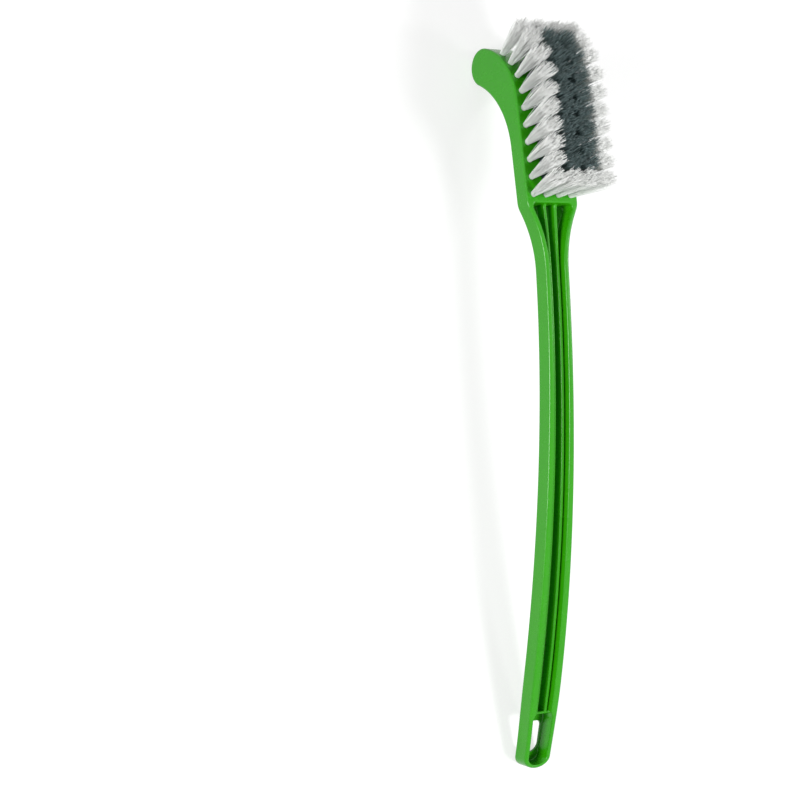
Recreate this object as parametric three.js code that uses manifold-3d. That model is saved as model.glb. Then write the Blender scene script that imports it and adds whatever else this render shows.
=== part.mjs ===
// Toilet brush: one moulded body with a tufted head and a bowed channel handle, forty bristle tufts set in
// blind holes of the head, and the flat wire anchor that holds each tuft in its hole.
// Millimetres, +Z up. The brush lies on its back, bristles up, head towards +Y. It rests on the head's lobe
// and on the handle's end, and the origin is on the floor under the middle of its box.
import * as THREE from "three";
import { mergeVertices } from "three/addons/utils/BufferGeometryUtils.js";
import Module from "manifold-3d";

const degrees = THREE.MathUtils.degToRad;

// Moulded body: head
const HEAD_WIDTH = 37.5;
const BODY_DEPTH = 11.3; // front to back, in the straight part of the head and in the handle
const FACE_LENGTH = 64; // flat part of the bristle face, from the neck corner
const LOBE_RADIUS = 11.5; // round lobe behind the head's top
const LOBE_RISE = 28.4; // lobe centre past the end of the flat face
const LOBE_DEPTH = 31.4; // lobe centre behind the bristle face
const BACK_SWEEP = 53; // radius of the hollow back under the lobe

// Moulded body: neck and handle
const HANDLE_LENGTH = 343; // along its back, from the neck corner
const HANDLE_BOW = 900; // radius of its back
const NECK_LEAN = degrees(2.7); // of the handle's top against the bristle face
const END_LEAN = degrees(13); // how much less the end's walls lean than its back does
const NECK_FLARE = 38; // length of the taper from the head to the handle
const NECK_WIDTH = 17.6; // handle width where the taper ends
const GRIP_WIDTH = 21.5; // handle width at its widest
const GRIP_TO_END = 56; // from there to the handle's end
const END_WIDTH = 19.2; // handle width at its end
const END_CORNER = 7.5; // corner radius of the end, seen from the front

// Moulded body: channel in the front of the handle, its ribs and the hang slot
const WALL = 3.5; // side walls at the neck
const GRIP_WALL = 4.8; // side walls at the grip
const POCKET_WALL = 3; // side walls past the cross-wall
const END_WALL = 2.3;
const WEB = 2; // back of the channel
const POCKET_RISE = 1.3; // channel top above the neck corner
const POCKET_CORNER = 3.5;
const RIB_WIDTH = 2.2;
const RIB_SPACING = 5.9; // centre to centre, where the taper ends
const RIB_SPREAD = 2.1; // how much further apart the ribs are at the neck corner
const RIB_DROP = 3.2; // rib tops below the wall tops
const CROSS_WALL = 1.8;
const SLOT_WIDTH = 11.6;
const SLOT_LENGTH = 20.4;
const SLOT_CORNER = 3.5; // radius of its upper corners
const SLOT_ROUND = 5.8; // length of its round lower end
const SLOT_TO_END = 8.9; // from the slot to the handle's end
const SLOT_TO_CROSS_WALL = 5.5;

// Bristles and their anchors
const COLUMNS = 4;
const ROWS = 10;
const ROW_PITCH = 10.5; // along the bristle face
const ROW_MARGIN = 5; // from the channel's top to the first row
const EDGE_MARGIN = 5; // from the head's sides to the outer columns
const SPLAY = degrees(8); // outward lean of the outer columns
const ROW_LEAN = degrees(5.5); // lean of all tufts towards the head's top
const ROW_FAN = 0.21; // share of the face's turn that the tufts follow
const BRISTLE_LENGTH = 34; // above the face
const HOLE_RADIUS = 2.1;
const HOLE_DEPTH = 7;
const STRANDS = [2, 6]; // strands of a tuft in its inner and outer ring
const STRAND_RADIUS = 0.34;
const STRAND_MARGIN = 0.41; // from the middle of an outer strand's root to the flat sides of its tuft
const TIP_RADIUS = 0.26;
const FAN = 3.1; // spread of a tuft's tips over its roots
const BACKING = 1.2; // slice of the face that carries a group of tufts
const BACKING_MARGIN = 1.1; // of that slice around the holes
const ANCHOR_THICKNESS = 0.5;
const ANCHOR_LENGTH = 5.2;
const ANCHOR_HEIGHT = 1.6;
const FOLD = 1; // bristle fold under the anchor
const CLEARANCE = 0.3; // between pieces that fit into each other

// Facets of round shapes
const ARC_FACETS = 18; // of each arc in the side view
const FLARE_FACETS = 10; // of the neck's taper
const HANDLE_FACETS = 14; // of the handle's sides and ribs
const POCKET_FACETS = 2; // of the end pocket's sides
const CORNER_FACETS = 5; // of each corner in the front view
const SLOT_FACETS = 8; // of each arc of the hang slot
const ROUND_SIDES = 8; // of tufts and their holes

// Joins and cuts
const PAST = 4; // how far a cutter runs past the face that it cuts
const SUNK = 0.6; // how deep a joined piece starts inside its neighbour
const SAME_POINT = 1e-4; // corners nearer than this are one

// Worked out from the sizes above
const headHalf = HEAD_WIDTH / 2;
const lobeY = FACE_LENGTH + LOBE_RISE;
const crownRadius =
  (LOBE_RISE ** 2 + LOBE_DEPTH ** 2 - LOBE_RADIUS ** 2) / (2 * (LOBE_DEPTH - LOBE_RADIUS));
const crownTurn = Math.atan2(LOBE_RISE, crownRadius - LOBE_DEPTH); // face arc, up to the lobe
const sweepReach = BACK_SWEEP + LOBE_RADIUS;
const sweepAcross = BODY_DEPTH + BACK_SWEEP - LOBE_DEPTH;
const sweepTurn = Math.acos(sweepAcross / sweepReach); // hollow back, up to the lobe
const sweepY = lobeY - sweepReach * Math.sin(sweepTurn);
const channelTop = -POCKET_RISE; // stations count down the handle from the neck corner
const channelEnd = HANDLE_LENGTH - END_WALL;
const channelCorner = END_CORNER - END_WALL;
const grip = HANDLE_LENGTH - GRIP_TO_END;
const slotEnd = HANDLE_LENGTH - SLOT_TO_END;
const crossWallEnd = slotEnd - SLOT_LENGTH - SLOT_TO_CROSS_WALL;
const crossWallStart = crossWallEnd - CROSS_WALL;
const ribTop = BODY_DEPTH - RIB_DROP;
const outerColumn = headHalf - EDGE_MARGIN;
const firstRow = POCKET_RISE + ROW_MARGIN;
const tuftRadius = HOLE_RADIUS - CLEARANCE;
const anchorDepth = HOLE_DEPTH - CLEARANCE - FOLD - CLEARANCE - ANCHOR_HEIGHT / 2;
const tuftFlat = tuftRadius * Math.cos(Math.PI / ROUND_SIDES); // from its middle to its flat sides
const strandReach = tuftFlat - STRAND_MARGIN; // of the outer ring of roots

const wasm = await Module();
wasm.setup();

// A closed geometry as a solid that can be joined and cut.
function solid(geometry) {
  const bare = geometry.clone();
  bare.deleteAttribute("normal");
  bare.deleteAttribute("uv");
  const merged = mergeVertices(bare, SAME_POINT);
  return new wasm.Manifold(
    new wasm.Mesh({
      numProp: 3,
      vertProperties: new Float32Array(merged.attributes.position.array),
      triVerts: new Uint32Array(merged.index.array),
    }),
  );
}

function geometryOf(body) {
  const mesh = body.getMesh();
  const geometry = new THREE.BufferGeometry();
  geometry.setAttribute("position", new THREE.BufferAttribute(mesh.vertProperties, 3));
  geometry.setIndex(new THREE.BufferAttribute(mesh.triVerts, 1));
  geometry.computeVertexNormals();
  return geometry;
}

function joined(solids) {
  return solids.reduce((sum, next) => sum.add(next));
}

// A closed skin over rings of points, each closed by a side back to its first point.
// Rings turn anticlockwise when seen from the far end, and they are convex.
function loft(rings) {
  const count = rings[0].length;
  const faces = [];
  for (let r = 0; r + 1 < rings.length; r++) {
    for (let i = 0; i < count; i++) {
      const j = (i + 1) % count;
      const a = r * count;
      const b = a + count;
      faces.push(a + i, a + j, b + j, a + i, b + j, b + i);
    }
  }
  const last = (rings.length - 1) * count;
  for (let i = 1; i + 1 < count; i++) {
    faces.push(0, i + 1, i, last, last + i, last + i + 1);
  }
  const geometry = new THREE.BufferGeometry().setFromPoints(rings.flat());
  geometry.setIndex(faces);
  return solid(geometry);
}

function box(across, along, high) {
  return new THREE.BoxGeometry(across, along, high);
}

// A round bar along Z between two heights.
function bar(radius, low, high) {
  const geometry = new THREE.CylinderGeometry(radius, radius, high - low, ROUND_SIDES);
  return geometry.rotateX(Math.PI / 2).translate(0, 0, (low + high) / 2);
}

function steps(from, to, count) {
  return Array.from({ length: count + 1 }, (_, i) => from + ((to - from) * i) / count);
}

// The handle's own frame at a station: a point on its back, the way up to the head, and the way to its front.
// The walls follow that last way, square to the back at the neck and less and less so towards the end.
function handleFrame(station) {
  const down = Math.max(station, 0);
  const lean = NECK_LEAN + down / HANDLE_BOW;
  const less = (END_LEAN * down) / HANDLE_LENGTH;
  const up = new THREE.Vector3(0, Math.cos(lean), Math.sin(lean));
  const front = new THREE.Vector3(0, -Math.sin(lean - less), Math.cos(lean - less));
  front.divideScalar(Math.cos(less)); // so that heights stay square to the back
  const back = new THREE.Vector3(
    0,
    HANDLE_BOW * (Math.sin(NECK_LEAN) - Math.sin(lean)),
    HANDLE_BOW * (Math.cos(lean) - Math.cos(NECK_LEAN)) - BODY_DEPTH,
  );
  return { back: back.addScaledVector(up, -Math.min(station, 0)), up, front };
}

function onHandle(station, across, height) {
  const { back, front } = handleFrame(station);
  return back.addScaledVector(front, height).setX(across);
}

// One four-cornered ring across the handle, from left to right and from low to high above its back.
function handleRing(station, left, right, low, high) {
  return [
    onHandle(station, left, low),
    onHandle(station, left, high),
    onHandle(station, right, high),
    onHandle(station, right, low),
  ].reverse();
}

// How far a station is between two others, from 0 to 1, with a smooth start and end.
const share = THREE.MathUtils.smoothstep;

// Half the handle's width: it swells from the neck to the grip and draws in again towards its end.
function handleHalf(station) {
  const swell = (GRIP_WIDTH - NECK_WIDTH) * share(station, NECK_FLARE, grip);
  const drawIn = (GRIP_WIDTH - END_WIDTH) * share(station, grip, HANDLE_LENGTH);
  return (NECK_WIDTH + swell - drawIn) / 2;
}

// Thickness of the side walls: it grows towards the grip and steps back at the cross-wall.
function sideWall(station) {
  const thick = WALL + (GRIP_WALL - WALL) * share(station, NECK_FLARE, grip);
  return thick + (POCKET_WALL - thick) * share(station, crossWallStart, crossWallEnd);
}

// Half the body's width: the head's, then a round taper, then the handle's.
function halfWidth(station) {
  const step = headHalf - NECK_WIDTH / 2;
  const radius = (NECK_FLARE ** 2 + step ** 2) / (2 * step);
  const toGo = Math.min(Math.max(NECK_FLARE - station, 0), NECK_FLARE);
  return handleHalf(station) + radius - Math.sqrt(radius ** 2 - toGo ** 2);
}

// The ribs keep their share of the handle's width, and spread a little up the neck.
function ribMiddle(station) {
  const toGo = Math.max(NECK_FLARE - station, 0) / NECK_FLARE;
  return ((RIB_SPACING * 2 * handleHalf(station)) / NECK_WIDTH + RIB_SPREAD * toGo ** 2) / 2;
}

// How far a round corner draws a side in, at a distance from the end that the corner belongs to.
function cornerDraw(distance, radius) {
  const toGo = Math.min(Math.max(radius - distance, 0), radius);
  return radius - Math.sqrt(radius ** 2 - toGo ** 2);
}

// Stations round a corner, from the straight side to the end that the corner belongs to.
function cornerSteps(end, radius, way) {
  const turn = steps(0, Math.PI / 2, CORNER_FACETS);
  return turn.map((angle) => end - way * radius * (1 - Math.sin(angle)));
}

// The whole side view, head and handle, as one outline: along the brush, then front to back.
function sideView() {
  const endBack = onHandle(HANDLE_LENGTH, 0, 0);
  const endFront = onHandle(HANDLE_LENGTH, 0, BODY_DEPTH);
  const bowY = HANDLE_BOW * Math.sin(NECK_LEAN);
  const bowZ = -BODY_DEPTH - HANDLE_BOW * Math.cos(NECK_LEAN);
  const neck = Math.PI / 2 + NECK_LEAN;
  const turnOf = (point) => Math.atan2(point.z - bowZ, point.y - bowY);
  const frontRadius = Math.hypot(endFront.y - bowY, endFront.z - bowZ);
  const outline = new THREE.Shape();
  outline.moveTo(0, 0);
  outline.absarc(bowY, bowZ, frontRadius, neck, turnOf(endFront), false);
  outline.lineTo(endBack.y, endBack.z);
  outline.absarc(bowY, bowZ, HANDLE_BOW, turnOf(endBack), neck, true);
  outline.absarc(sweepY, -BODY_DEPTH - BACK_SWEEP, BACK_SWEEP, Math.PI / 2, Math.PI / 2 - sweepTurn, true);
  outline.absarc(
    lobeY,
    -LOBE_DEPTH,
    LOBE_RADIUS,
    -Math.PI / 2 - sweepTurn,
    Math.PI / 2 - crownTurn,
    false,
  );
  outline.absarc(FACE_LENGTH, -crownRadius, crownRadius, Math.PI / 2 - crownTurn, Math.PI / 2, false);
  return outline;
}

// Turns a side view into a slab across the brush.
function slab(outline, left, right) {
  const geometry = new THREE.ExtrudeGeometry(outline, {
    depth: right - left,
    bevelEnabled: false,
    curveSegments: ARC_FACETS,
  });
  const across = new THREE.Matrix4().makeBasis(
    new THREE.Vector3(0, 1, 0),
    new THREE.Vector3(0, 0, 1),
    new THREE.Vector3(1, 0, 0),
  );
  return solid(geometry.applyMatrix4(across).translate(left, 0, 0));
}

// Everything inside the front view's outline.
function frontView() {
  const reach = HEAD_WIDTH * 2 + BODY_DEPTH;
  const above = lobeY + LOBE_RADIUS + PAST;
  const stations = [
    -above,
    ...steps(0, NECK_FLARE, FLARE_FACETS),
    ...steps(NECK_FLARE, HANDLE_LENGTH - END_CORNER, HANDLE_FACETS).slice(1),
    ...cornerSteps(HANDLE_LENGTH, END_CORNER, 1).slice(1),
  ];
  return loft(
    stations.map((station) => {
      const half = halfWidth(station) - cornerDraw(HANDLE_LENGTH - station, END_CORNER);
      return handleRing(station, -half, half, -reach, reach);
    }),
  );
}

function innerHalf(station) {
  const top = cornerDraw(station - channelTop, POCKET_CORNER);
  const end = cornerDraw(channelEnd - station, channelCorner);
  return halfWidth(station) - sideWall(station) - top - end;
}

function channel() {
  const stations = [
    ...cornerSteps(channelTop, POCKET_CORNER, -1).reverse(),
    ...steps(channelTop + POCKET_CORNER, NECK_FLARE, FLARE_FACETS).slice(1),
    ...steps(NECK_FLARE, crossWallStart, HANDLE_FACETS).slice(1),
    ...steps(crossWallEnd, channelEnd - channelCorner, POCKET_FACETS),
    ...cornerSteps(channelEnd, channelCorner, 1).slice(1),
  ];
  return loft(
    stations.map((station) => {
      const half = innerHalf(station);
      return handleRing(station, -half, half, WEB, BODY_DEPTH + PAST);
    }),
  );
}

function rib(side) {
  const half = RIB_WIDTH / 2;
  const stations = [
    ...steps(channelTop - SUNK, NECK_FLARE, FLARE_FACETS),
    ...steps(NECK_FLARE, crossWallEnd - SUNK, HANDLE_FACETS).slice(1),
  ];
  return loft(
    stations.map((station) => {
      const middle = side * ribMiddle(station);
      return handleRing(station, middle - half, middle + half, WEB - SUNK, ribTop);
    }),
  );
}

function crossWall() {
  return loft(
    [crossWallStart, crossWallEnd].map((station) => {
      const half = innerHalf(station) + SUNK;
      return handleRing(station, -half, half, WEB - SUNK, ribTop);
    }),
  );
}

// The hang slot: round corners at its upper end, and one round lower end.
function hangSlot() {
  const half = SLOT_WIDTH / 2;
  const corner = half - SLOT_CORNER;
  const high = SLOT_LENGTH / 2 - SLOT_CORNER;
  const low = SLOT_ROUND - SLOT_LENGTH / 2;
  const outline = new THREE.Shape();
  outline.absarc(corner, high, SLOT_CORNER, 0, Math.PI / 2, false);
  outline.absarc(-corner, high, SLOT_CORNER, Math.PI / 2, Math.PI, false);
  outline.absellipse(0, low, half, SLOT_ROUND, Math.PI, 2 * Math.PI, false, 0);
  const geometry = new THREE.ExtrudeGeometry(outline, {
    depth: WEB + 2 * PAST,
    bevelEnabled: false,
    curveSegments: SLOT_FACETS,
  });
  const { back, up, front } = handleFrame(slotEnd - SLOT_LENGTH / 2);
  const place = new THREE.Matrix4().makeBasis(new THREE.Vector3(1, 0, 0), up, front).setPosition(back);
  return solid(geometry.translate(0, 0, -PAST).applyMatrix4(place));
}

// A place on the bristle face, by the distance along it from the neck corner: flat, then the crown's arc.
function onFace(distance) {
  const turn = Math.max(distance - FACE_LENGTH, 0) / crownRadius;
  const flat = Math.min(distance, FACE_LENGTH);
  return {
    turn,
    point: new THREE.Vector3(
      0,
      flat + crownRadius * Math.sin(turn),
      crownRadius * (Math.cos(turn) - 1),
    ),
    out: new THREE.Vector3(0, Math.sin(turn), Math.cos(turn)),
  };
}

const rowPlace = (row) => firstRow + row * ROW_PITCH;
const columnPlace = (column) => -outerColumn + (2 * outerColumn * column) / (COLUMNS - 1);

// A tuft's frame: Z out along the tuft, Y up the head, X across, with its origin on the face.
function tuftFrame(row, column) {
  const across = columnPlace(column);
  const lean = (SPLAY * across) / outerColumn;
  const { point, turn } = onFace(rowPlace(row));
  const rise = ROW_LEAN + ROW_FAN * turn;
  const along = new THREE.Vector3(0, Math.cos(rise), -Math.sin(rise));
  const out = new THREE.Vector3(0, Math.sin(rise), Math.cos(rise));
  const axis = out.multiplyScalar(Math.cos(lean)).setX(Math.sin(lean));
  const side = new THREE.Vector3().crossVectors(along, axis);
  return new THREE.Matrix4().makeBasis(side, along, axis).setPosition(point.setX(across));
}

function tuftHole(frame) {
  const hole = bar(HOLE_RADIUS, -HOLE_DEPTH, PAST);
  const notch = box(
    ANCHOR_THICKNESS + 2 * CLEARANCE,
    ANCHOR_LENGTH + 2 * CLEARANCE,
    ANCHOR_HEIGHT + 2 * CLEARANCE,
  ).translate(0, 0, -anchorDepth);
  return solid(hole.applyMatrix4(frame)).add(solid(notch.applyMatrix4(frame)));
}

// One bristle: a slim three-sided spike from its tuft's foot, leaning out as far as its root is off centre.
function strand(frame, x, y) {
  const ring = (height, radius, spread) =>
    [0, 1, 2].map((corner) => {
      const angle = Math.PI / 2 + (corner * 2 * Math.PI) / 3;
      const place = new THREE.Vector3(
        x * spread + radius * Math.cos(angle),
        y * spread + radius * Math.sin(angle),
        height,
      );
      return place.applyMatrix4(frame);
    });
  return loft([ring(-2 * SUNK, STRAND_RADIUS, 1), ring(BRISTLE_LENGTH, TIP_RADIUS, FAN)]);
}

// A tuft: the foot in its hole, with a window where the bristles fold round the anchor, and its strands.
function tuft({ frame, hand }) {
  const foot = bar(tuftRadius, CLEARANCE - HOLE_DEPTH, -SUNK);
  const window = box(
    ANCHOR_THICKNESS + 2 * CLEARANCE,
    ANCHOR_LENGTH,
    ANCHOR_HEIGHT + 2 * CLEARANCE,
  ).translate(0, 0, -anchorDepth);
  const bundle = solid(foot.applyMatrix4(frame)).subtract(solid(window.applyMatrix4(frame)));
  const strands = STRANDS.flatMap((count, ring) =>
    Array.from({ length: count }, (_, i) => {
      const angle = (2 * Math.PI * (i + ring / 2)) / count;
      const reach = (strandReach * (2 * ring + 1)) / (2 * STRANDS.length - 1);
      return strand(frame, hand * reach * Math.cos(angle), reach * Math.sin(angle));
    }),
  );
  return joined([bundle, ...strands]);
}

// A slice of the bristle face between two distances along it and two places across it, with its facets.
function faceSlice(from, to, left, right, depth, above) {
  const facets = steps(FACE_LENGTH, FACE_LENGTH + crownRadius * crownTurn, ARC_FACETS);
  const stations = [from, ...facets.filter((stop) => stop > from && stop < to), to].map(onFace);
  const top = stations.map(({ point, out }) => point.clone().addScaledVector(out, above));
  const under = stations.map(({ point, out }) => point.clone().addScaledVector(out, -depth)).reverse();
  const outline = new THREE.Shape([...under, ...top].map((p) => new THREE.Vector2(p.y, p.z)));
  return slab(outline, left, right);
}

// The backing of a block of tufts, and with a gap the recess for it in the head.
function backing({ rows, columns }, gap, above) {
  const margin = HOLE_RADIUS + BACKING_MARGIN + gap;
  const places = columns.map(columnPlace);
  return faceSlice(
    rowPlace(rows[0]) - margin,
    rowPlace(rows[1]) + margin,
    Math.min(...places) - margin,
    Math.max(...places) + margin,
    BACKING + gap,
    above,
  );
}

// White tufts run round the edge of the field and grey ones fill it, each colour in a left and a right half.
const lastRow = ROWS - 1;
const lastColumn = COLUMNS - 1;
const inner = Math.floor(COLUMNS / 2) - 1;
const leftColumns = Array.from({ length: inner + 1 }, (_, i) => i);
const rightColumns = leftColumns.map((column) => lastColumn - column);
const isEdge = (row, column) =>
  row === 0 || row === lastRow || column === 0 || column === lastColumn;
const edgeBlocks = (columns) => [
  { rows: [0, lastRow], columns: [columns[0]] },
  { rows: [0, 0], columns },
  { rows: [lastRow, lastRow], columns },
];
const fieldBlocks = (columns) => [{ rows: [1, lastRow - 1], columns: columns.slice(1) }];
const tuftGroups = [
  { name: "white_tufts_left", columns: leftColumns, edge: true },
  { name: "white_tufts_right", columns: rightColumns, edge: true },
  { name: "grey_tufts_left", columns: leftColumns, edge: false },
  { name: "grey_tufts_right", columns: rightColumns, edge: false },
].map((group) => ({
  ...group,
  blocks: group.edge ? edgeBlocks(group.columns) : fieldBlocks(group.columns),
}));

const rowNumbers = Array.from({ length: ROWS }, (_, i) => i);
const places = rowNumbers.flatMap((row) =>
  Array.from({ length: COLUMNS }, (_, column) => ({
    row,
    column,
    frame: tuftFrame(row, column),
    hand: Math.sign(columnPlace(column)) || 1,
  })),
);

const plastic = new THREE.MeshStandardMaterial({ color: 0x4fa832, roughness: 0.38 });
const whiteBristle = new THREE.MeshStandardMaterial({ color: 0xf1f2ee, roughness: 0.5 });
const greyBristle = new THREE.MeshStandardMaterial({ color: 0x49535c, roughness: 0.5 });
const wire = new THREE.MeshStandardMaterial({ color: 0xb9bcc0, roughness: 0.35, metalness: 1 });

function named(name, geometry, material) {
  const mesh = new THREE.Mesh(geometry, material);
  mesh.name = name;
  return mesh;
}

function handleBody() {
  const block = slab(sideView(), -HEAD_WIDTH, HEAD_WIDTH).intersect(frontView());
  const hollow = block.subtract(channel());
  const ribbed = joined([hollow, rib(-1), rib(1), crossWall()]).subtract(hangSlot());
  const recesses = tuftGroups.flatMap(({ blocks }) =>
    blocks.map((block) => backing(block, CLEARANCE, PAST)),
  );
  const holes = places.map(({ frame }) => tuftHole(frame));
  return named("handle_body", geometryOf(ribbed.subtract(joined([...recesses, ...holes]))), plastic);
}

function tuftGroup({ name, columns, edge, blocks }) {
  const slices = blocks.map((block) => backing(block, 0, 0));
  const tufts = places
    .filter(({ row, column }) => columns.includes(column) && isEdge(row, column) === edge)
    .map(tuft);
  const material = edge ? whiteBristle : greyBristle;
  return named(name, geometryOf(joined([...slices, ...tufts])), material);
}

function tuftAnchor({ row, column, frame }) {
  const holder = new THREE.Group();
  holder.applyMatrix4(frame);
  const strip = box(ANCHOR_THICKNESS, ANCHOR_LENGTH, ANCHOR_HEIGHT);
  const anchor = named("anchor_row" + (row + 1) + "_col" + (column + 1), strip, wire);
  anchor.position.z = -anchorDepth;
  return holder.add(anchor);
}

const brush = new THREE.Group();
brush.add(handleBody(), ...tuftGroups.map(tuftGroup), ...places.map(tuftAnchor));

// Lying on the lobe and on the back of the handle's end.
const { back: heel } = handleFrame(HANDLE_LENGTH);
const toLobe = new THREE.Vector2(lobeY - heel.y, -LOBE_DEPTH - heel.z);
brush.rotation.x = Math.asin(LOBE_RADIUS / toLobe.length()) - toLobe.angle();

const part = new THREE.Group();
part.add(brush);
const extent = new THREE.Box3().setFromObject(part, true);
const middle = extent.getCenter(new THREE.Vector3());
brush.position.set(-middle.x, -middle.y, -extent.min.z);

export default part;
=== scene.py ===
"""A toilet brush lying on its back: a moulded green body, forty bristle tufts and their wire anchors.

Sizes are millimetres in the brush's own frame: X across the head, Y up the head, Z out of the bristle face,
with the origin in the middle of the neck corner. Objects are made in metres, in the frame's own place.
"""

import math

import bmesh
import bpy
import numpy as np
from mathutils import Matrix, Vector


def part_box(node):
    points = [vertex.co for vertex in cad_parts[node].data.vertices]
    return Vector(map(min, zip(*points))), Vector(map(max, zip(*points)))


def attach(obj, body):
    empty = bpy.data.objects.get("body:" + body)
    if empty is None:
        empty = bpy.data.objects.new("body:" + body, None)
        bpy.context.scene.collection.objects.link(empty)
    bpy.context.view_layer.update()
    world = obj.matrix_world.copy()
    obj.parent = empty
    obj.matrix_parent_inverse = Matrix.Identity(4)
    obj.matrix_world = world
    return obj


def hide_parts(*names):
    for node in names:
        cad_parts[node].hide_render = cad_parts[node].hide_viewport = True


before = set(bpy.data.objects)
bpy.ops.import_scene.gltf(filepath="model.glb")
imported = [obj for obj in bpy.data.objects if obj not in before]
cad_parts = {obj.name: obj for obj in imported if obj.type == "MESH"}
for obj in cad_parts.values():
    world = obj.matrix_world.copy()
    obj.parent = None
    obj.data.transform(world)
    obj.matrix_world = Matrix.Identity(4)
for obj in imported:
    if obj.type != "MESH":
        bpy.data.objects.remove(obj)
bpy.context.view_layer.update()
body_low, body_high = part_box("handle_body")

MM = 0.001
SEED = 7

# Body: head, neck and handle
HEAD_HALF = body_high.x / MM
BODY_DEPTH = 11.3
FACE_LENGTH = 64
LOBE_RADIUS = 11.5
LOBE_RISE = 28.4
LOBE_DEPTH = 31.4
BACK_SWEEP = 53
HANDLE_LENGTH = 343
HANDLE_BOW = 900
NECK_LEAN = math.radians(2.7)
END_LEAN = math.radians(13)  # how much less the end's walls lean than its back does
NECK_FLARE = 38
NECK_BLEND = 2.5  # rounding of the neck corner, to each side of it
NECK_HALF = 8.8
GRIP_HALF = 10.75
GRIP_TO_END = 56
END_HALF = 9.6
END_ROUND = 7  # length of the rounded end

# Body: channel, ribs, cross-wall, hang slot and the marks of the mould's ejector pins
WALL = 3.5  # side walls at the neck
GRIP_WALL = 4.8  # side walls at the grip
POCKET_WALL = 3  # side walls past the cross-wall
POCKET_STEP = 5  # over which the walls step back there
END_WALL = 2.3
WEB = 2
DRAFT = 0.3  # how far a wall leans over its height
POCKET_RISE = 1.3
POCKET_CORNER = 3.5
RIB_HALF = 1.1
RIB_FOOT = 0.2  # widening of a rib at its foot, to each side
RIB_SPACING = 5.9
RIB_SPREAD = 2.1
RIB_DROP = 3.2
RIB_SWEEP = 2.2  # radius in which a rib rises into the channel's top wall
CROSS_WALL = 1.8
CROSS_SWEEP = 1.5  # radius in which the cross-wall rises into the side walls
SLOT_WIDTH = 11.6
SLOT_LENGTH = 20.4
SLOT_CORNER = 3.5
SLOT_ROUND = 5.8
SLOT_TO_END = 8.9
SLOT_TO_CROSS_WALL = 5.5
PIN_RADIUS = 1.3
PIN_DEPTH = 0.15
PINS = ((8, -8), (8, 8), (72, 0))  # by station and place across

# Body: rounded edges
EDGE = 1.4  # outer edges
RIM = 1.0  # inner edges of the wall tops
FILLET = 1.0  # along the channel's floor
RIB_FILLET = 0.8  # along the feet of ribs and cross-wall
CREST = 0.9  # along the tops of ribs and cross-wall
SLOT_EDGE = 0.5
SHARP = math.radians(40)  # a sharper edge than this isn't shaded smooth

# Body: how its mesh is made
EDGE_STEPS = 5
CORNER_STEPS = 16
CORNER_SHARE = 0.45  # the most of a side that a rounded corner takes
LEG = 3  # length of a side beside a rounded corner, in radii
RUNG_PITCH = 4  # along the handle
HEAD_RUNGS = 90
HOLE_SIDES = 20
PIN_SIDES = 24
TIP_TURN = math.radians(150)  # where front and back meet on the lobe
FLANGE = 2  # width of the channel cutter's flange
SKIM = 0.03  # keeps surfaces apart that would else coincide
SUNK = 0.6  # how deep a joined piece starts inside its neighbour, and half of that under the floor
HOLE_OVER = 2  # how far a hole's cutter stands out of the face
PIN_OVER = 1  # and a pin's out of the channel's floor
NUDGE = 0.01  # over which a slope is measured
JOIN = 0.002  # points nearer than this are one

# Tufts
COLUMNS = 4
ROWS = 10
ROW_PITCH = 10.5
ROW_MARGIN = 5
EDGE_MARGIN = 5
SPLAY = math.radians(8)  # outward lean of the outer columns
ROW_LEAN = math.radians(5.5)  # lean of all tufts towards the head's top
ROW_FAN = 0.21  # share of the face's turn that the tufts follow
HOLE_RADIUS = 2.1
HOLE_DEPTH = 7
TUFT_RADIUS = 1.75

# Filaments, each folded round its tuft's anchor so that it makes two bristles
FOLDED = 85  # in a tuft
FILAMENT_RADIUS = 0.16
FILAMENT_TAPER = 0.2  # share of the radius lost at the tip
FILAMENT_SIDES = 4
GOLDEN_TURN = math.pi * (3 - math.sqrt(5))  # from one filament's root to the next, which fills a tuft evenly
BRISTLE_LENGTH = 34
BRISTLE_STOPS = np.array([0, 0.16, 0.36, 0.58, 0.8, 1])  # points along a bristle, as shares of its length
WHITE_SPREAD = (6.4, 4.9)  # half the spread of a tuft's tips, across the head and along it
GREY_SPREAD = (6.6, 5.7)
SPREAD_POWER = 1.1  # above 1, bristles spread more near their tips
ROOT_SCATTER = 0.05
TIP_SCATTER = 0.7
LENGTH_SCATTER = 0.6
LENGTH_LOSS = 0.35  # of bristles that are cut or worn short
BOW = 0.45
FOLD_SIDE = 4.6  # depth at which a filament passes the anchor
FOLD_DEPTH = 6.2
FOLD_SHARE = 0.4  # how far down between these two a fold of no width would reach
FOLD_HALF = 0.45  # half the width of the narrowest fold

# Camera, in metres where it isn't pixels
VIEW_TURN = math.radians(32.49)  # of the camera from straight above the bristles towards -X
VIEW_TILT = math.radians(0.78)  # and towards the handle's end
VIEW_ROLL = math.radians(-2.42)
VIEW_DISTANCE = 1.2318
VIEW_OFFSET = (0.0839, 0.0009)  # of the object's middle from the picture's
VIEW_HEIGHT = 0.03  # of the object's middle
FOCAL_PIXELS = 2035
PICTURE_PIXELS = 800

# Materials and surroundings
NOISE_RANGE = (0.3, 0.7)  # most values of a noise texture lie between these
WORLD_LIGHT = 0.2
FLOOR_REACH = 6
FLOOR_GREY = 170
FLOOR_GLOW = 0.66  # what makes the floor near white where it is seen

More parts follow.
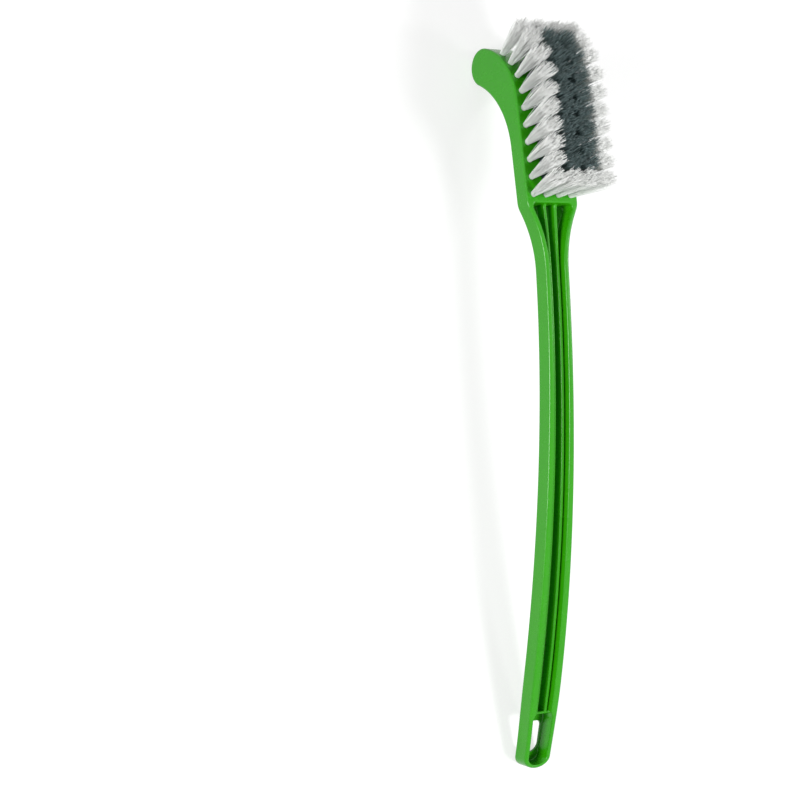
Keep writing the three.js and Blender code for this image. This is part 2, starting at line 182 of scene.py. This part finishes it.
# Worked out from the sizes above
lobe_y = FACE_LENGTH + LOBE_RISE
crown_radius = (LOBE_RISE**2 + LOBE_DEPTH**2 - LOBE_RADIUS**2) / (2 * (LOBE_DEPTH - LOBE_RADIUS))
crown_turn = math.atan2(LOBE_RISE, crown_radius - LOBE_DEPTH)
crown_end = FACE_LENGTH + crown_radius * crown_turn
sweep_reach = BACK_SWEEP + LOBE_RADIUS
sweep_turn = math.acos((BODY_DEPTH + BACK_SWEEP - LOBE_DEPTH) / sweep_reach)
sweep_y = lobe_y - sweep_reach * math.sin(sweep_turn)
sweep_end = sweep_y + BACK_SWEEP * sweep_turn
channel_top = -POCKET_RISE  # stations count down the handle from the neck corner
grip = HANDLE_LENGTH - GRIP_TO_END
round_start = HANDLE_LENGTH - END_ROUND
slot_end = HANDLE_LENGTH - SLOT_TO_END
cross_wall_end = slot_end - SLOT_LENGTH - SLOT_TO_CROSS_WALL
cross_wall_start = cross_wall_end - CROSS_WALL
cross_wall_middle = cross_wall_end - CROSS_WALL / 2
rib_level = BODY_DEPTH - RIB_DROP
outer_column = HEAD_HALF - EDGE_MARGIN
first_row = POCKET_RISE + ROW_MARGIN
quarter_turn = np.linspace(0, math.pi / 2, CORNER_STEPS)


# Places and meshes


def handle_place(station, across, height):
    """A point of the handle, by its station, its place across and its height above the handle's back.

    The walls lean with the back at the neck, and less and less so towards the handle's end.
    """
    down = max(station, 0)
    turn = NECK_LEAN + down / HANDLE_BOW
    lean = turn if station > 0 else 0
    blend = min(max((station + NECK_BLEND) / (2 * NECK_BLEND), 0), 1)
    wall = (turn - END_LEAN * down / HANDLE_LENGTH) * blend
    rise = height / math.cos(lean - wall)
    back_y = HANDLE_BOW * (math.sin(NECK_LEAN) - math.sin(turn)) - min(station, 0)
    back_z = HANDLE_BOW * (math.cos(turn) - math.cos(NECK_LEAN)) - BODY_DEPTH
    return np.array([across, back_y - rise * math.sin(wall), back_z + rise * math.cos(wall)])


def rest_place():
    """The brush's place at rest, in metres: on its lobe and on the back of the handle's end."""
    heel = Vector(handle_place(HANDLE_LENGTH, 0, 0))
    to_lobe = Vector((lobe_y - heel.y, -LOBE_DEPTH - heel.z))
    tilt = math.asin(LOBE_RADIUS / to_lobe.length) - math.atan2(to_lobe.y, to_lobe.x)
    turn = Matrix.Rotation(tilt, 4, "X")
    lobe = turn @ Vector((0, lobe_y, -LOBE_DEPTH))
    end = min((turn @ Vector(handle_place(HANDLE_LENGTH, 0, h))).y for h in (0, BODY_DEPTH))
    shift = Vector((0, body_low.y / MM - end, LOBE_RADIUS - lobe.z))
    return Matrix.Scale(MM, 4) @ Matrix.Translation(shift) @ turn


REST = rest_place()


def scene_object(name, data):
    """A new object in the scene, which holds a mesh, a lamp or a camera."""
    made = bpy.data.objects.new(name, data)
    bpy.context.scene.collection.objects.link(made)
    return made


def mesh_object(name, points, faces):
    """A mesh in the brush's own frame, put in its place at rest, with points that coincide joined."""
    mesh = bpy.data.meshes.new(name)
    mesh.from_pydata(np.asarray(points).tolist(), [], faces)
    work = bmesh.new()
    work.from_mesh(mesh)
    bmesh.ops.remove_doubles(work, verts=work.verts, dist=JOIN)
    bmesh.ops.dissolve_degenerate(work, edges=work.edges, dist=JOIN / 2)
    bmesh.ops.recalc_face_normals(work, faces=work.faces)
    work.to_mesh(mesh)
    work.free()
    mesh.transform(REST)
    return scene_object(name, mesh)


def skin(rings):
    """Faces between closed rings of the same number of points, which follow each other."""
    count = len(rings[0])
    faces = []
    for r in range(len(rings) - 1):
        for i in range(count):
            j = (i + 1) % count
            faces.append((r * count + i, r * count + j, (r + 1) * count + j, (r + 1) * count + i))
    return faces


def caps(rings):
    """Two faces that close the first and the last of such rings."""
    count = len(rings[0])
    last = count * (len(rings) - 1)
    return [list(range(count))[::-1], list(range(last, last + count))]


def ladder(start, count):
    """Faces across a closed ring whose two halves mirror each other from its first point on."""
    rungs = [(i, i + 1, count - i - 1, (count - i) % count) for i in range(count // 2)]
    return [[start + i for i in dict.fromkeys(rung)] for rung in rungs]


def mirrored_ring(side):
    """A closed ring from the points of one side, whose first and last points lie in the middle."""
    return np.vstack([side, np.array(side[-2:0:-1]) * (-1, 1, 1)])


def circle(radius, sides):
    """Points round a circle, with the first on its first axis."""
    turns = np.linspace(0, 2 * math.pi, sides, endpoint=False)
    return radius * np.stack([np.cos(turns), np.sin(turns)], 1)


# Paths with rounded corners


def corner_round(before, corner, after, radius):
    """Points of an arc round a corner, which starts and ends a radius away from it or a little less."""
    before, corner, after = (np.array(p, float) for p in (before, corner, after))
    ways = []
    ends = []
    for other in (before, after):
        gap = np.linalg.norm(other - corner)
        ways.append((other - corner) / gap)
        ends.append(corner + ways[-1] * min(radius, CORNER_SHARE * gap))
    weight = math.sqrt((1 - ways[0] @ ways[1]) / 2)
    steps = np.linspace(0, 1, EDGE_STEPS)[:, None]
    shares = (1 - steps) ** 2, 2 * weight * steps * (1 - steps), steps**2
    return (shares[0] * ends[0] + shares[1] * corner + shares[2] * ends[1]) / sum(shares)


def rounded(corners, radii):
    """A path through corners, rounded at all of them but the first and the last."""
    bends = [corner_round(*corners[i : i + 3], radius) for i, radius in enumerate(radii)]
    return np.vstack([[corners[0]], *bends, [corners[-1]]])


def corner_draw(distance, radius):
    """How far a round corner draws a side in, at a distance from the end that the corner belongs to."""
    to_go = min(max(radius - distance, 0), radius)
    return radius - math.sqrt(radius**2 - to_go**2)


def ease(place, start, end):
    """How far a place is between two others, from 0 to 1, with a smooth start and end."""
    share = min(max((place - start) / (end - start), 0), 1)
    return share**2 * (3 - 2 * share)


# The body's outlines


def handle_half(station):
    """Half the handle's width: it swells from the neck to the grip and draws in again towards its end."""
    swell = (GRIP_HALF - NECK_HALF) * ease(station, NECK_FLARE, grip)
    draw_in = (GRIP_HALF - END_HALF) * ease(station, grip, HANDLE_LENGTH)
    return NECK_HALF + swell - draw_in


def flared_half(station):
    """The same with the round taper up to the head's width."""
    step = HEAD_HALF - NECK_HALF
    radius = (NECK_FLARE**2 + step**2) / (2 * step)
    to_go = min(max(NECK_FLARE - station, 0), NECK_FLARE)
    return handle_half(station) + radius - math.sqrt(radius**2 - to_go**2)


def side_half(station):
    """The same with the neck corner rounded."""
    if abs(station) > NECK_BLEND:
        return flared_half(station)
    share = (station + NECK_BLEND) / (2 * NECK_BLEND)
    ends = flared_half(-NECK_BLEND), flared_half(NECK_BLEND)
    return (1 - share) ** 2 * ends[0] + 2 * share * (1 - share) * HEAD_HALF + share**2 * ends[1]


def outer_half(station):
    """The same with the handle's end rounded."""
    past = max((station - round_start) / END_ROUND, 0)
    return side_half(station) * math.sqrt(max(1 - past**2, 0))


def plan_normal(station):
    """The way out of the body's side, seen from its front: along the handle, then across."""
    step = min(NUDGE, (HANDLE_LENGTH - station) / 2)
    if step <= 0:
        return 1.0, 0.0
    slope = (outer_half(station + step) - outer_half(station - step)) / (2 * step)
    return -slope / math.hypot(slope, 1), 1 / math.hypot(slope, 1)


def channel_half(station):
    """Half the channel's width without its corners. Its walls step back at the cross-wall."""
    thick = WALL + (GRIP_WALL - WALL) * ease(station, NECK_FLARE, grip)
    thick += (POCKET_WALL - thick) * ease(station, cross_wall_start, cross_wall_start + POCKET_STEP)
    return side_half(station) - thick


def rib_middle(station):
    """How far a rib's middle is from the handle's. The ribs spread a little towards the neck."""
    to_go = max(NECK_FLARE - station, 0) / NECK_FLARE
    return (RIB_SPACING * handle_half(station) / NECK_HALF + RIB_SPREAD * to_go**2) / 2


def face_place(distance):
    """A place on the bristle face, by the distance along it, and the way out: flat, crown, then lobe."""
    if distance < FACE_LENGTH:
        return np.array([distance, 0]), np.array([0, 1])
    turn = (distance - FACE_LENGTH) / crown_radius
    middle, radius = np.array([FACE_LENGTH, -crown_radius]), crown_radius
    if distance > crown_end:
        turn = crown_turn + (distance - crown_end) / LOBE_RADIUS
        middle, radius = np.array([lobe_y, -LOBE_DEPTH]), LOBE_RADIUS
    out = np.array([math.sin(turn), math.cos(turn)])
    return middle + radius * out, out


def back_place(distance):
    """A place on the head's back, by the distance along it, and the way out: flat, hollow, then lobe."""
    if distance < sweep_y:
        return np.array([distance, -BODY_DEPTH]), np.array([0, -1])
    turn = (distance - sweep_y) / BACK_SWEEP
    middle, radius = np.array([sweep_y, -BODY_DEPTH - BACK_SWEEP]), -BACK_SWEEP
    if distance > sweep_end:
        turn = sweep_turn - (distance - sweep_end) / LOBE_RADIUS
        middle, radius = np.array([lobe_y, -LOBE_DEPTH]), LOBE_RADIUS
    out = np.array([-math.sin(turn), -math.cos(turn)])
    return middle + radius * out, out


# The body's skin, ring by ring from the handle's end to the tip of the lobe


def outer_ring(half, normal, front, back):
    """A ring round the body with rounded edges, by its half width and the way out of its side.

    front and back give a point by its place along and across and its depth under that surface.
    """
    along, out = normal
    edge = corner_round((0, LEG * EDGE), (0, 0), (LEG * EDGE, 0), EDGE)
    points = [back(EDGE * along, 0, 0)]
    points += [back(inset * along, half - inset * out, depth) for inset, depth in edge[::-1]]
    points += [front(inset * along, half - inset * out, depth) for inset, depth in edge]
    points.append(front(EDGE * along, 0, 0))
    return mirrored_ring(points)


def handle_ring(station):
    """A ring round the handle at a station."""

    def front(along, across, drop):
        return handle_place(station - along, across, BODY_DEPTH - drop)

    def back(along, across, rise):
        return handle_place(station - along, across, rise)

    return outer_ring(outer_half(station), plan_normal(station), front, back)


def head_ring(share):
    """A ring round the head, by its share of the way from the neck to the tip of the lobe."""
    face_length = crown_end + LOBE_RADIUS * (TIP_TURN - crown_turn)
    back_length = sweep_end + LOBE_RADIUS * (sweep_turn - TIP_TURN + math.pi)
    face, face_out = face_place(NECK_BLEND + share * (face_length - NECK_BLEND))
    rear, rear_out = back_place(NECK_BLEND + share * (back_length - NECK_BLEND))

    def front(_, across, drop):
        return np.array([across, *(face - face_out * drop)])

    def back(_, across, rise):
        return np.array([across, *(rear - rear_out * rise)])

    return outer_ring(HEAD_HALF, (0, 1), front, back)


def body_skin():
    """The body without its channel, slot and holes."""
    stations = list(round_start + END_ROUND * np.cos(quarter_turn))
    stations += list(np.arange(round_start - RUNG_PITCH, NECK_BLEND, -RUNG_PITCH))
    stations += list(np.linspace(NECK_BLEND, -NECK_BLEND, EDGE_STEPS))
    rings = [handle_ring(station) for station in stations]
    rings += [head_ring(i / HEAD_RUNGS) for i in range(1, HEAD_RUNGS + 1)]
    return mesh_object("moulded_body", np.vstack(rings), skin(rings))


# What is cut from the body and what is joined to it


def channel_outline():
    """One side of the channel's outline, from the middle of its end to the middle of its top."""
    end = round_start + (END_ROUND - END_WALL) * np.cos(quarter_turn)
    points = [(s, channel_half(s) * math.sin(turn)) for s, turn in zip(end, quarter_turn)]
    straight = set(np.arange(round_start - RUNG_PITCH / 2, channel_top + POCKET_CORNER, -RUNG_PITCH))
    straight |= set(np.linspace(cross_wall_start, cross_wall_start + POCKET_STEP, EDGE_STEPS + 2))
    points += [(s, channel_half(s)) for s in sorted(straight, reverse=True)]
    corner = channel_top + POCKET_CORNER * (1 - np.sin(quarter_turn))
    draws = POCKET_CORNER * (1 - np.cos(quarter_turn))
    points += [(s, channel_half(s) - draw) for s, draw in zip(corner, draws)]
    return np.array(points + [(channel_top, 0)])


def drawn_in(outline, inset):
    """The outline drawn in by a distance, towards the channel's middle."""
    before = np.vstack([outline[1] * (1, -1), outline[:-1]])
    after = np.vstack([outline[1:], outline[-2] * (1, -1)])
    steps = outline - before, after - outline
    way = sum(step / np.linalg.norm(step, axis=1, keepdims=True) for step in steps)
    way /= np.linalg.norm(way, axis=1, keepdims=True)
    return outline + inset * np.stack([-way[:, 1], way[:, 0]], 1)


def channel_cutter():
    """The hollow of the channel: drafted walls, a rounded rim at the top and a fillet along the floor."""
    outline = channel_outline()
    profile = rounded(
        [(-FLANGE, BODY_DEPTH + SKIM), (0, BODY_DEPTH), (DRAFT, WEB), (DRAFT + LEG * FILLET, WEB)],
        [RIM, FILLET],
    )[:-1]
    rings = []
    for inset, height in profile:
        side = [handle_place(s, across, height) for s, across in drawn_in(outline, inset)]
        rings.append(mirrored_ring(side))
    count = len(rings[0])
    ends = ladder(0, count) + ladder(count * (len(rings) - 1), count)
    return mesh_object("channel", np.vstack(rings), skin(rings) + ends)


def ridge(name, half, stops, place):
    """A wall that stands in the channel, with spread feet and a rounded top, by stops and their tops."""
    rings = []
    for stop, top in stops:
        foot = half + RIB_FOOT
        side = [(foot + LEG * RIB_FILLET, WEB - SUNK / 2), (foot, WEB), (half, top)]
        corners = side + [(-across, height) for across, height in side[::-1]]
        section = rounded(corners, [RIB_FILLET, CREST, CREST, RIB_FILLET])
        rings.append([place(stop, across, height) for across, height in section])
    return mesh_object(name, np.vstack(rings), skin(rings) + caps(rings))


def rib(side):
    """One of the two ribs along the channel, from its top wall to the cross-wall."""
    stations = [channel_top - SUNK]
    stations += list(channel_top + RIB_SWEEP * (1 - np.cos(quarter_turn)))
    stations += list(np.arange(RIB_SWEEP, cross_wall_start, RUNG_PITCH))
    stations.append(cross_wall_middle)
    stops = [(s, rib_level + corner_draw(s - channel_top, RIB_SWEEP)) for s in stations]

    def place(station, across, height):
        return handle_place(station, side * rib_middle(station) + across, height)

    return ridge("rib", RIB_HALF, stops, place)


def cross_wall():
    """The wall across the channel, between the ribs' ends and the end pocket."""
    reach = channel_half(cross_wall_middle)
    bend = list(reach - CROSS_SWEEP * (1 - np.cos(quarter_turn)))
    right = [reach + SUNK] + bend
    places = right + [-across for across in right[::-1]]
    stops = [(a, rib_level + SKIM + corner_draw(reach - abs(a), CROSS_SWEEP)) for a in places]

    def place(across, along, height):
        return handle_place(cross_wall_middle + along, across, height)

    return ridge("cross_wall", CROSS_WALL / 2, stops, place)


def tuft_frame(row, column):
    """A tuft's place: Z out along the tuft, Y up the head, X across, with its origin on the face."""
    across = -outer_column + 2 * outer_column * column / (COLUMNS - 1)
    lean = SPLAY * across / outer_column
    (y, z), (out_y, out_z) = face_place(first_row + row * ROW_PITCH)
    rise = ROW_LEAN + ROW_FAN * math.atan2(out_y, out_z)
    axis = Vector((math.sin(lean), math.sin(rise) * math.cos(lean), math.cos(rise) * math.cos(lean)))
    along = Vector((0, math.cos(rise), -math.sin(rise)))
    side = along.cross(axis)
    placed = Matrix((side, along, axis)).transposed().to_4x4()
    placed.translation = (across, y, z)
    return placed


def tuft_holes():
    """The blind holes that the tufts sit in, as one cutter."""
    outline = circle(HOLE_RADIUS, HOLE_SIDES)
    points, faces = [], []
    for placed in (tuft_frame(row, column) for row in range(ROWS) for column in range(COLUMNS)):
        ends = (-HOLE_DEPTH, HOLE_OVER)
        rings = [[placed @ Vector((x, y, height)) for x, y in outline] for height in ends]
        base = len(points)
        points += rings[0] + rings[1]
        faces += [[base + i for i in face] for face in skin(rings) + caps(rings)]
    return mesh_object("holes", points, faces)


def handle_bar(name, station, across, outline, profile):
    """A closed bar through the handle: an outline round a place, grown by growths at their heights."""
    rings = []
    for growth, height in profile:
        stretch = 1 + growth / np.linalg.norm(outline, axis=1, keepdims=True)
        rings.append([handle_place(station - y, across + x, height) for x, y in outline * stretch])
    return mesh_object(name, np.vstack(rings), skin(rings) + caps(rings))


def hang_slot():
    """The oblong slot through the handle's back: square with round corners at its top, round below."""
    half = SLOT_WIDTH / 2
    top = [
        (half - SLOT_CORNER * (1 - math.cos(a)), SLOT_LENGTH / 2 - SLOT_CORNER * (1 - math.sin(a)))
        for a in quarter_turn
    ]
    bottom = [
        (half * math.cos(a), SLOT_ROUND * (1 - math.sin(a)) - SLOT_LENGTH / 2) for a in quarter_turn
    ]
    right = bottom[::-1] + top
    outline = np.array(right + [(-x, y) for x, y in right[::-1] if x > 0])
    profile = rounded(
        [(LEG * SLOT_EDGE, -SKIM), (0, 0), (0, WEB), (SLOT_EDGE, WEB + SKIM), (SLOT_EDGE, BODY_DEPTH)],
        [SLOT_EDGE, SLOT_EDGE, SKIM],
    )
    return handle_bar("slot", slot_end - SLOT_LENGTH / 2, 0, outline, profile)


def pin_mark(station, across):
    """A shallow round mark that an ejector pin leaves in the channel's floor."""
    outline = circle(PIN_RADIUS, PIN_SIDES)
    return handle_bar("pin", station, across, outline, [(0, WEB - PIN_DEPTH), (0, WEB + PIN_OVER)])


def combine(piece, other, operation):
    """Join another piece to a piece or cut it away, and drop the other."""
    modifier = piece.modifiers.new("shape", "BOOLEAN")
    modifier.object = other
    modifier.operation = operation
    modifier.solver = "MANIFOLD"
    shaped = bpy.data.meshes.new_from_object(piece.evaluated_get(bpy.context.evaluated_depsgraph_get()))
    piece.modifiers.clear()
    piece.data = shaped
    bpy.data.objects.remove(other)


def make_body():
    """The whole moulding, shaded smooth but for its sharp edges."""
    body = body_skin()
    combine(body, channel_cutter(), "DIFFERENCE")
    for joined in (rib(-1), rib(1), cross_wall()):
        combine(body, joined, "UNION")
    for cutter in [tuft_holes(), hang_slot()] + [pin_mark(*pin) for pin in PINS]:
        combine(body, cutter, "DIFFERENCE")
    body.data.shade_smooth()
    body.data.set_sharp_from_angle(angle=SHARP)
    weighted = body.modifiers.new("flat faces stay flat", "WEIGHTED_NORMAL")
    weighted.keep_sharp = True
    return body


# Bristles


def filament_paths(spread, rng):
    """Centre lines of a tuft's filaments, from tip to fold to tip, and their points' shares of the length."""
    index = np.arange(FOLDED)
    reach = TUFT_RADIUS * np.sqrt((index + 0.5) / FOLDED)
    turn = index * GOLDEN_TURN % math.pi - math.pi / 2
    roots = np.stack([reach * np.cos(turn), reach * np.sin(turn)], 1)
    share = BRISTLE_STOPS[None, :, None]
    legs = []
    for side in (1, -1):
        root = roots * (side, 1) + rng.normal(0, ROOT_SCATTER, (FOLDED, 2))
        tip = root * spread / TUFT_RADIUS + rng.normal(0, TIP_SCATTER, (FOLDED, 2))
        length = BRISTLE_LENGTH + rng.normal(0, LENGTH_SCATTER, FOLDED)
        length -= rng.exponential(LENGTH_LOSS, FOLDED)
        bow = rng.normal(0, BOW, (FOLDED, 2))
        flat = root[:, None] + (tip - root)[:, None] * share**SPREAD_POWER
        flat += bow[:, None] * np.sin(math.pi * share)
        legs.append(np.concatenate([flat, length[:, None, None] * share], 2))
    near = np.maximum(np.abs(roots[:, 0]), FOLD_HALF)
    lowest = FOLD_SHARE + (1 - FOLD_SHARE) * near / TUFT_RADIUS
    depth = FOLD_SIDE + (FOLD_DEPTH - FOLD_SIDE) * lowest
    fold = [
        np.stack([side * near, roots[:, 1], np.full(FOLDED, -FOLD_SIDE)], 1) for side in (1, -1)
    ]
    bottom = np.stack([np.zeros(FOLDED), roots[:, 1], -depth], 1)
    down = np.stack([fold[0], bottom, fold[1]], 1)
    paths = np.concatenate([legs[0][:, ::-1], down, legs[1]], 1)
    along = np.concatenate([BRISTLE_STOPS[::-1], np.zeros(down.shape[1]), BRISTLE_STOPS])
    return paths, along


def tube_points(paths, radii):
    """A small ring of points round each point of each path."""
    ahead = np.gradient(paths, axis=1)
    ahead /= np.linalg.norm(ahead, axis=2, keepdims=True)
    across = np.array([0, 1.0, 0]) - ahead * ahead[..., 1:2]
    across /= np.linalg.norm(across, axis=2, keepdims=True)
    up = np.cross(ahead, across)
    wide = radii[None, :, None]
    return np.stack([paths + wide * (x * across + y * up) for x, y in circle(1, FILAMENT_SIDES)], 2)


def tube_faces(tubes, rings):
    """Faces of tubes that are closed at both ends, for points in order, all tubes with as many rings."""
    sides = [list(range(ring * FILAMENT_SIDES, (ring + 1) * FILAMENT_SIDES)) for ring in range(rings)]
    one = skin(sides) + caps(sides)
    points = rings * FILAMENT_SIDES
    return [[tube * points + i for i in face] for tube in range(tubes) for face in one]


def make_tufts(name, places, spread, rng):
    """Tufts as one mesh, which holds each filament's tone and how far up its bristle each point is."""
    points, tone, along = [], [], []
    for place in places:
        paths, shares = filament_paths(spread, rng)
        tubes = tube_points(paths, FILAMENT_RADIUS * (1 - FILAMENT_TAPER * shares))
        turn = np.array(place.to_3x3())
        points.append(tubes.reshape(-1, 3) @ turn.T + np.array(place.translation))
        tone.append(np.repeat(rng.random(FOLDED), len(shares) * FILAMENT_SIDES))
        along.append(np.tile(np.repeat(shares, FILAMENT_SIDES), FOLDED))
    mesh = bpy.data.meshes.new(name)
    mesh.from_pydata(np.vstack(points).tolist(), [], tube_faces(FOLDED * len(places), len(shares)))
    mesh.transform(REST)
    for label, values in (("tone", tone), ("along", along)):
        held = mesh.attributes.new(label, "FLOAT", "POINT")
        held.data.foreach_set("value", np.concatenate(values).astype(np.float32))
    mesh.shade_smooth()
    return scene_object(name, mesh)


def is_edge(row, column):
    """Whether a tuft is at the edge of the field, where the bristles are white."""
    return row in (0, ROWS - 1) or column in (0, COLUMNS - 1)


# Materials


def srgb(red, green, blue):
    """A colour written as 0 to 255 per channel, in the linear values that shaders take."""
    parts = [c / 255 for c in (red, green, blue)]
    return [c / 12.92 if c <= 0.04045 else ((c + 0.055) / 1.055) ** 2.4 for c in parts] + [1]


class Shader:
    """A material with a Principled shader, and short ways to add and join nodes."""

    def __init__(self, name, **values):
        self.material = bpy.data.materials.new(name)
        self.material.use_nodes = True
        self.tree = self.material.node_tree
        self.main = self.tree.nodes["Principled BSDF"]
        for socket, value in values.items():
            self.drive(socket.replace("_", " "), value)

    def feed(self, socket, value):
        """Join another node's output to a socket, or set the socket to a plain value."""
        if isinstance(value, bpy.types.NodeSocket):
            self.tree.links.new(value, socket)
        else:
            socket.default_value = value

    def drive(self, socket, value):
        self.feed(self.main.inputs[socket], value)

    def node(self, kind, inputs=None, **settings):
        made = self.tree.nodes.new(kind)
        for setting, value in settings.items():
            setattr(made, setting, value)
        for socket, value in (inputs or {}).items():
            self.feed(made.inputs[socket], value)
        return made

    def attribute(self, name):
        return self.node("ShaderNodeAttribute", attribute_name=name).outputs["Fac"]

    def noise(self, scale, detail):
        place = self.node("ShaderNodeTexCoord").outputs["Object"]
        inputs = {"Vector": place, "Scale": scale, "Detail": detail}
        return self.node("ShaderNodeTexNoise", inputs).outputs["Fac"]

    def spread(self, value, low, high, to_low, to_high):
        inputs = {"Value": value, "From Min": low, "From Max": high, "To Min": to_low, "To Max": to_high}
        return self.node("ShaderNodeMapRange", inputs).outputs["Result"]

    def uneven(self, scale, detail, low, high):
        """A value that wanders between two others over the surface."""
        return self.spread(self.noise(scale, detail), *NOISE_RANGE, low, high)

    def mix(self, factor, low, high):
        """A mix of two colours. The node's sockets share their names, so they go by number."""
        return self.node("ShaderNodeMix", {0: factor, 6: low, 7: high}, data_type="RGBA").outputs[2]

    def bump(self, height, strength, distance):
        inputs = {"Height": height, "Strength": strength, "Distance": distance}
        self.drive("Normal", self.node("ShaderNodeBump", inputs).outputs["Normal"])


def green_plastic():
    """Satin moulded polypropylene: a fine grain, faint cloudiness and slightly uneven gloss."""
    look = Shader("green_plastic", IOR=1.49, Specular_IOR_Level=0.4)
    clouds = look.uneven(scale=35, detail=3, low=0, high=1)
    look.drive("Base Color", look.mix(clouds, srgb(46, 152, 5), srgb(50, 156, 8)))
    look.drive("Roughness", look.uneven(scale=140, detail=4, low=0.24, high=0.29))
    look.bump(look.noise(scale=2600, detail=2), strength=0.05, distance=0.00003)
    return look.material


def bristle(name, root, tip, vary):
    """Nylon filaments: each a little lighter or darker than the next, and shading from root to tip: the
    darker root is painted shade deep in the tuft, and the paler tip is partly its frosted cut end and partly
    painted light.
    """
    look = Shader(name, Roughness=0.45, IOR=1.53)
    # painted shade: the mix along each bristle darkens it towards its root, deep in the tuft near the face,
    # and lightens it at the tip
    body = look.mix(look.attribute("along"), root, tip)
    value = look.spread(look.attribute("tone"), 0, 1, 1 - vary, 1 + vary)
    shade = look.node("ShaderNodeHueSaturation", {"Color": body, "Value": value})
    look.drive("Base Color", shade.outputs["Color"])
    return look.material


def anchor_steel():
    """Flat drawn wire: bright metal, a little uneven in colour and gloss."""
    look = Shader("anchor_steel", Metallic=1)
    patches = look.noise(scale=900, detail=3)
    look.drive("Base Color", look.mix(patches, srgb(168, 170, 174), srgb(196, 198, 200)))
    look.drive("Roughness", look.uneven(scale=1800, detail=2, low=0.28, high=0.45))
    return look.material


# Camera, light and floor


def make_camera():
    """The camera at the photograph's viewing angle."""
    back = Vector(
        (
            -math.sin(VIEW_TURN) * math.cos(VIEW_TILT),
            -math.sin(VIEW_TILT),
            math.cos(VIEW_TURN) * math.cos(VIEW_TILT),
        )
    )
    level = Vector((0, 1, 0)).cross(back).normalized()
    turn = Matrix((level, back.cross(level), back)).transposed().to_4x4()
    turn = turn @ Matrix.Rotation(VIEW_ROLL, 4, "Z")
    lens = bpy.data.cameras.new("camera")
    lens.lens = FOCAL_PIXELS / PICTURE_PIXELS * lens.sensor_width
    camera = scene_object("camera", lens)
    away = Vector((-VIEW_OFFSET[0], -VIEW_OFFSET[1], VIEW_DISTANCE))
    camera.matrix_world = Matrix.Translation((0, 0, VIEW_HEIGHT)) @ turn @ Matrix.Translation(away)
    bpy.context.scene.camera = camera


def area_light(name, place, size, power):
    """A square lamp that shines on the origin."""
    lamp = bpy.data.lights.new(name, "AREA")
    lamp.size = size
    lamp.energy = power
    made = scene_object(name, lamp)
    made.location = place
    made.rotation_euler = (-Vector(place)).to_track_quat("-Z", "Y").to_euler()
    return made


def white_when_seen(tree, unseen, seen):
    """A strength for what the camera and reflections see, and another for what lights the object."""
    path = tree.nodes.new("ShaderNodeLightPath")
    is_seen = path.outputs["Is Camera Ray"]
    for ray in ("Is Glossy Ray", "Is Transmission Ray"):
        either = tree.nodes.new("ShaderNodeMath")
        either.operation = "MAXIMUM"
        tree.links.new(is_seen, either.inputs[0])
        tree.links.new(path.outputs[ray], either.inputs[1])
        is_seen = either.outputs["Value"]
    strength = tree.nodes.new("ShaderNodeMapRange")
    tree.links.new(is_seen, strength.inputs["Value"])
    strength.inputs["To Min"].default_value = unseen
    strength.inputs["To Max"].default_value = seen
    return strength.outputs["Result"]


def make_light():
    """A low key on the brush's left side, a fill across its channel and a small lamp for the highlights."""
    area_light("key", place=(-1.55, -0.05, 0.72), size=0.6, power=24)
    fill = area_light("fill", place=(0.76, -0.71, 1.33), size=0.5, power=20)
    fill.visible_glossy = False
    area_light("sheen", place=(1.28, 0.17, 1.07), size=0.2, power=4.5)
    world = bpy.data.worlds.new("studio")
    world.use_nodes = True
    sky = world.node_tree.nodes["Background"]
    sky.inputs["Color"].default_value = (1, 1, 1, 1)
    strength = white_when_seen(world.node_tree, unseen=WORLD_LIGHT, seen=1)
    world.node_tree.links.new(strength, sky.inputs["Strength"])
    bpy.context.scene.world = world


def make_floor():
    """A pale floor that the camera sees near white, with the object's soft shadow on it."""
    corners = [(FLOOR_REACH * x, FLOOR_REACH * y, 0) for x, y in ((-1, -1), (1, -1), (1, 1), (-1, 1))]
    mesh = bpy.data.meshes.new("floor")
    mesh.from_pydata(corners, [], [(0, 1, 2, 3)])
    floor = scene_object("floor", mesh)
    grey = srgb(FLOOR_GREY, FLOOR_GREY, FLOOR_GREY)
    look = Shader("pale_floor", Base_Color=grey, Roughness=0.9, Emission_Color=(1, 1, 1, 1))
    look.drive("Emission Strength", white_when_seen(look.tree, unseen=0, seen=FLOOR_GLOW))
    mesh.materials.append(look.material)


# The brush, piece by piece


def dress_body():
    """The moulding, in the place of its solid."""
    body = make_body()
    body.data.materials.clear()
    body.data.materials.append(green_plastic())
    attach(body, "root")
    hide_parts("handle_body")


def dress_tufts():
    """The white tufts at the field's edge, then the grey ones inside it, each as a left and a right half."""
    # each root colour is darker than its tip colour as painted shade deep in the tufts; the grey ones differ
    # most
    white = bristle("white_bristle", srgb(240, 243, 240), srgb(248, 249, 247), vary=0.04)
    grey = bristle("grey_bristle", srgb(43, 63, 64), srgb(88, 106, 106), vary=0.35)
    rng = np.random.default_rng(SEED)
    halves = (("left", range(COLUMNS // 2)), ("right", range(COLUMNS // 2, COLUMNS)))
    for colour, at_edge, look, spread in (
        ("white", True, white, WHITE_SPREAD),
        ("grey", False, grey, GREY_SPREAD),
    ):
        for side, columns in halves:
            spots = [(row, column) for row in range(ROWS) for column in columns]
            places = [tuft_frame(*spot) for spot in spots if is_edge(*spot) == at_edge]
            tufts = make_tufts(colour + "_bristles_" + side, places, spread, rng)
            tufts.data.materials.append(look)
            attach(tufts, "root")
            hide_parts(colour + "_tufts_" + side)


def dress_anchors():
    """The anchors keep their solids and get a material."""
    steel = anchor_steel()
    for name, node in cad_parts.items():
        if name.startswith("anchor_"):
            node.data.materials.clear()
            node.data.materials.append(steel)


make_camera()
make_light()
make_floor()
bpy.context.scene.view_settings.view_transform = "Standard"
dress_body()
dress_tufts()
dress_anchors()
